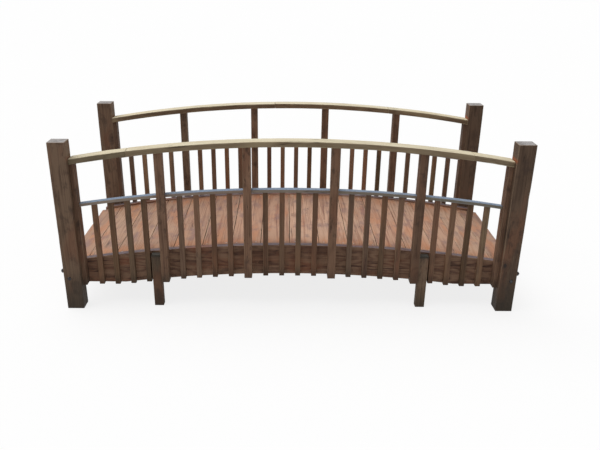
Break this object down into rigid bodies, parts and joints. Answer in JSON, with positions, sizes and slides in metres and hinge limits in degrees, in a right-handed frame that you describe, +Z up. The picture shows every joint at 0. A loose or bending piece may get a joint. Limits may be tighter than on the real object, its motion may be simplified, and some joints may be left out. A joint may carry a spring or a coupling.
{
  "type": "moon bridge",
  "caption": "Arched timber garden bridge: planked deck between sawn arch beams, square corner posts, and curved top and mid rails over square balusters on both sides.",
  "frame": {"origin": "middle of the footprint on the ground", "axes": "+X along the walk, +Y across it towards the back railing, +Z up"},
  "size_m": [2.4538, 1.168, 0.9058],
  "materials": {
    "post_timber": "brown stained softwood, weathered",
    "beam_timber": "brown stained softwood, weathered",
    "deck_timber": "worn reddish stain over bare softwood",
    "rail_timber": "stain worn to pale wood on top",
    "mid_rail_timber": "greyed stained softwood",
    "baluster_timber": "brown stained softwood, weathered",
    "bolt_steel": "dull zinc-plated steel, browned"
  },
  "bodies": {
    "root": {"corner_post_front_left": "post_timber", "corner_post_front_right": "post_timber", "corner_post_back_left": "post_timber", "corner_post_back_right": "post_timber", "rail_stile_front_left": "post_timber", "rail_stile_front_right": "post_timber", "rail_stile_back_left": "post_timber", "rail_stile_back_right": "post_timber", "rail_post_front_1": "post_timber", "rail_post_front_2": "post_timber", "rail_post_front_3": "post_timber", "rail_post_front_4": "post_timber", "rail_post_back_1": "post_timber", "rail_post_back_2": "post_timber", "rail_post_back_3": "post_timber", "rail_post_back_4": "post_timber", "top_rail_front": "rail_timber", "top_rail_back": "rail_timber", "mid_rail_front": "mid_rail_timber", "mid_rail_back": "mid_rail_timber", "balusters_front_1": "baluster_timber", "balusters_front_2": "baluster_timber", "balusters_front_3": "baluster_timber", "balusters_front_4": "baluster_timber", "balusters_front_5": "baluster_timber", "balusters_back_1": "baluster_timber", "balusters_back_2": "baluster_timber", "balusters_back_3": "baluster_timber", "balusters_back_4": "baluster_timber", "balusters_back_5": "baluster_timber", "arch_beam_front": "beam_timber", "arch_beam_back": "beam_timber", "deck_planks_left": "deck_timber", "deck_planks_middle": "deck_timber", "deck_planks_right": "deck_timber", "deck_ledger_front": "beam_timber", "deck_ledger_back": "beam_timber", "support_leg_front_left": "post_timber", "support_leg_front_right": "post_timber", "support_leg_back_left": "post_timber", "support_leg_back_right": "post_timber"}
  },
  "joints": []
}
